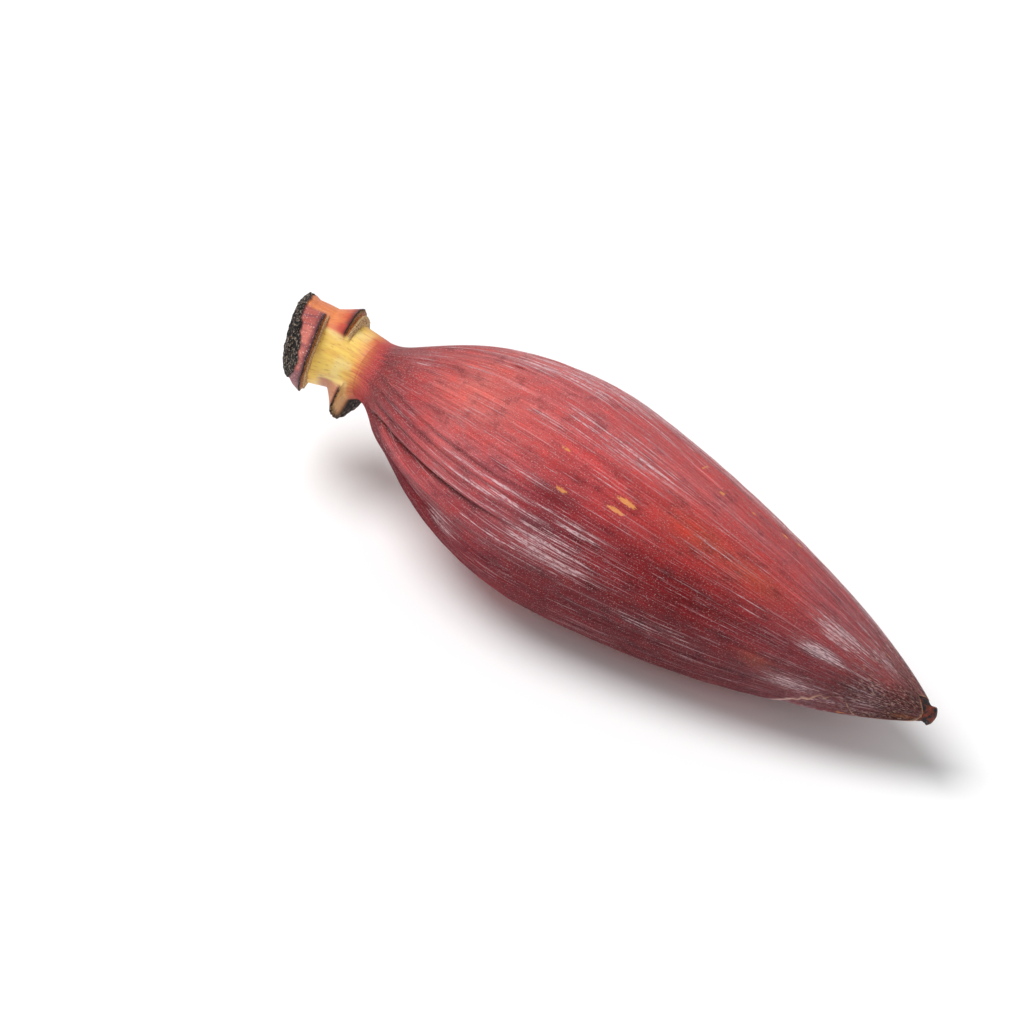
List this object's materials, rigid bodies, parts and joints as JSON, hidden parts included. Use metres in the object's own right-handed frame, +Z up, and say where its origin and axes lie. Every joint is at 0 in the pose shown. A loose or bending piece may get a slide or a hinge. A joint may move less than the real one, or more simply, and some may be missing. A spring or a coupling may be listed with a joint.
{
  "type": "banana blossom",
  "caption": "Closed banana blossom as picked, lying on its belly: a teardrop bud wrapped in overlapping dark red bracts, with its cut stalk.",
  "frame": {"origin": "on the ground, on the flat of the belly, straight below the lowest line of the body", "axes": "+X along the blossom from the stalk to the tip, +Z up, +Y away from the side that the outermost bract covers"},
  "size_m": [0.292, 0.0841, 0.0836],
  "materials": {
    "stalk_flesh": "fibrous yellow flesh with brown scars, charred at the cut",
    "bract_skin": "dusty red leathery skin with lengthwise ribs and a pale waxy bloom",
    "bud_skin": "dry rust brown skin at the tip"
  },
  "bodies": {
    "root": {"stalk": "stalk_flesh", "outer_bract": "bract_skin", "second_bract": "bract_skin", "third_bract": "bract_skin", "inner_bud": "bud_skin"}
  },
  "joints": []
}
